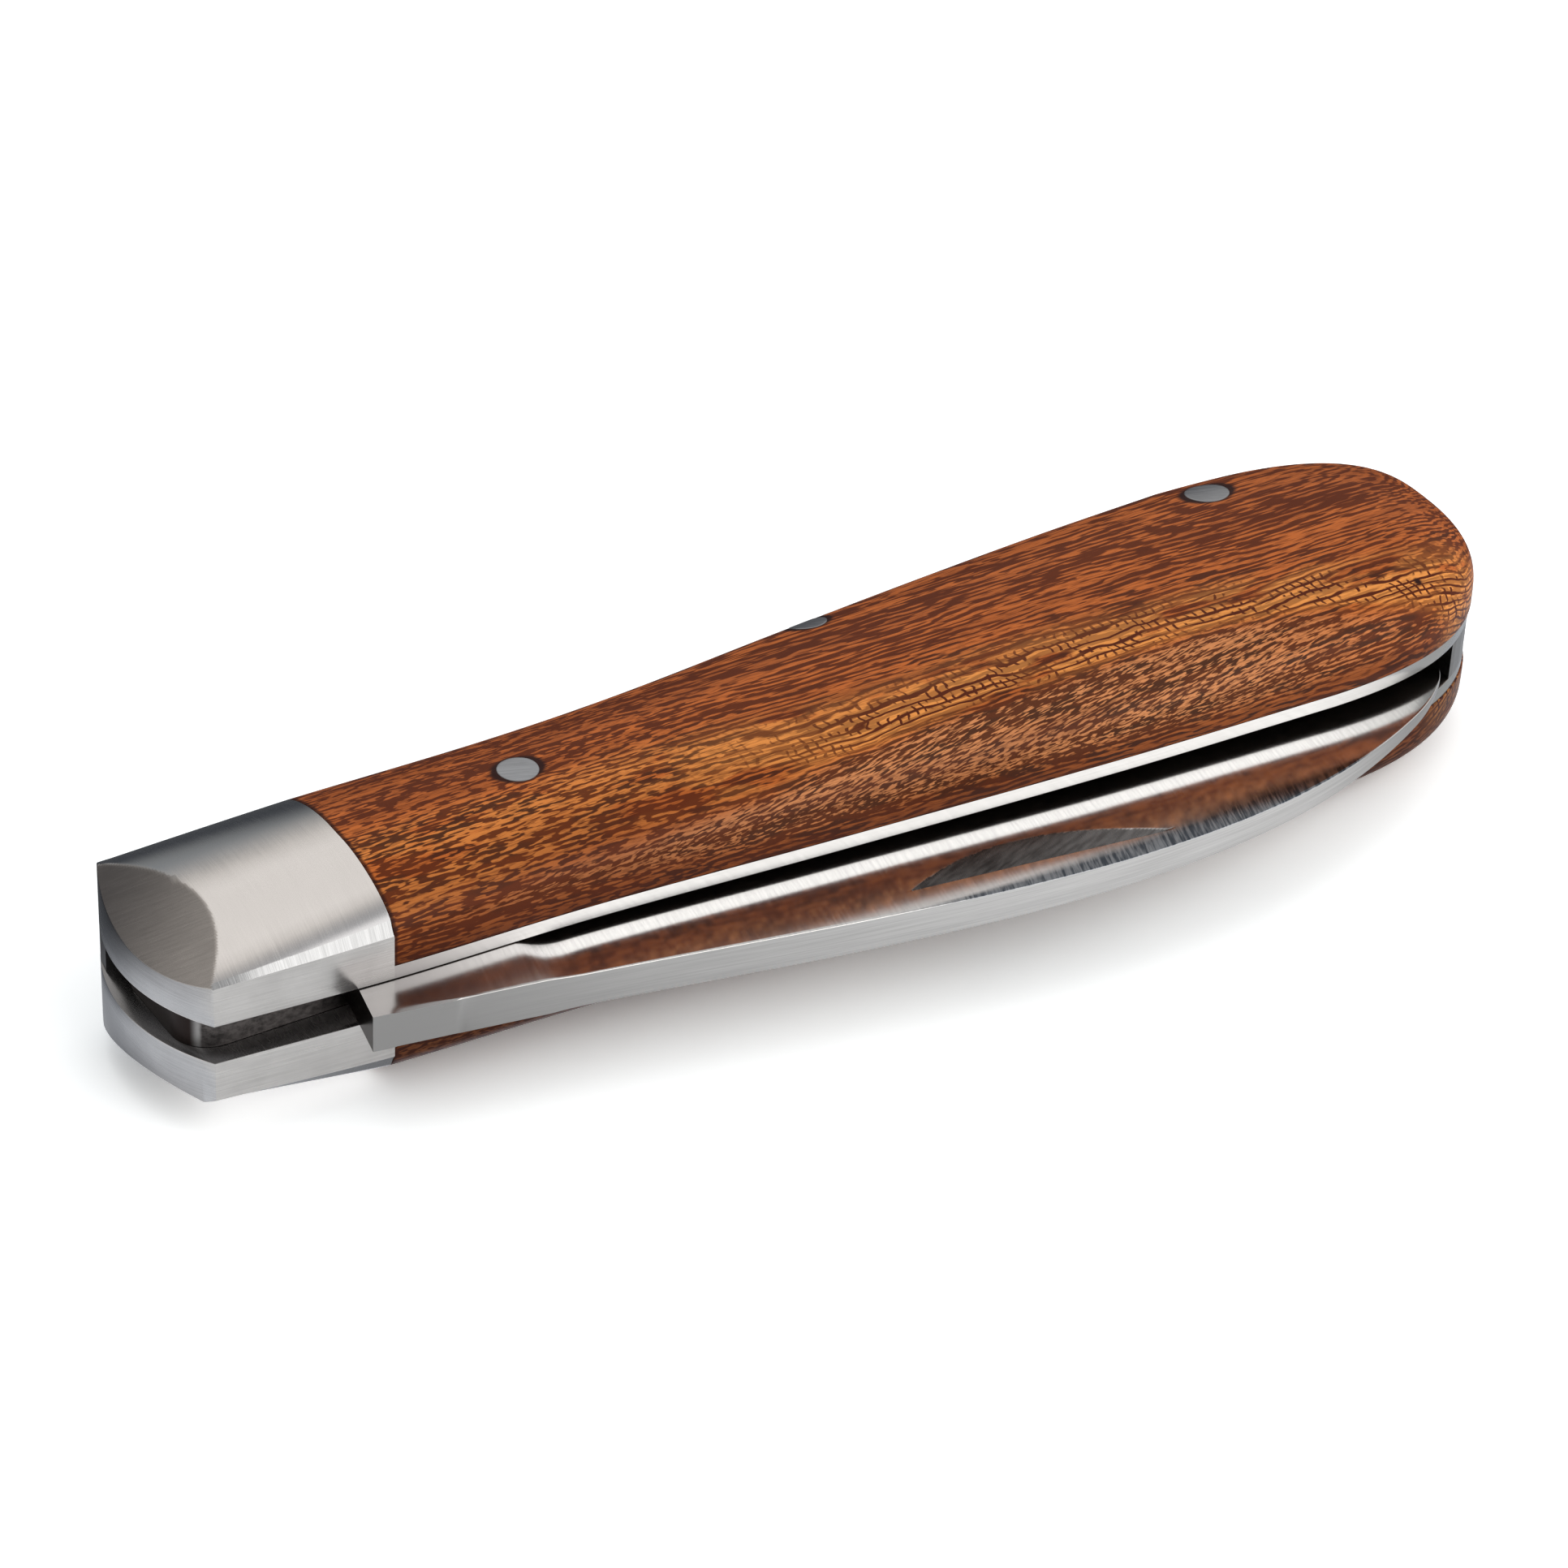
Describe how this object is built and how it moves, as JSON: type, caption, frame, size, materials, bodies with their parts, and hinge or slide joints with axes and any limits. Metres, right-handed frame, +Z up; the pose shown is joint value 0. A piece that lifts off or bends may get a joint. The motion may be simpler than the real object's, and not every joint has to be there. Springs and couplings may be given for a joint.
{
  "type": "folding pocket knife",
  "caption": "Closed slip-joint jack knife with a waisted wood handle, steel bolsters and a blade that folds out of its side.",
  "frame": {"origin": "below the middle of the closed knife's box, on the surface that it lies on", "axes": "+X from the bolster end to the pommel, -Y towards the open side where the blade's back stands out, +Z up through the upper cover"},
  "size_m": [0.1024, 0.03, 0.0158],
  "materials": {
    "liner": "satin steel, lengthwise brushing",
    "bolster": "satin steel, cross brushing",
    "wood": "oiled reddish-brown hardwood, satin",
    "pin": "brushed steel, dressed flush",
    "spring": "satin spring steel",
    "blade": "polished steel with a satin back"
  },
  "bodies": {
    "handle": {"upper_liner": "liner", "lower_liner": "liner", "upper_bolster": "bolster", "lower_bolster": "bolster", "upper_wood_cover": "wood", "lower_wood_cover": "wood", "upper_front_rivet": "pin", "lower_front_rivet": "pin", "backspring": "spring", "pivot_pin": "pin", "middle_pin": "pin", "end_pin": "pin"},
    "blade": {"blade": "blade"}
  },
  "joints": [
    {"name": "blade_pivot", "type": "hinge", "parent": "handle", "child": "blade", "pos_m": [-0.04465, 0.00375, 0.0079], "axis": [0, 0, -1], "range_deg": [0, 180], "deforming": ["backspring"]}
  ]
}
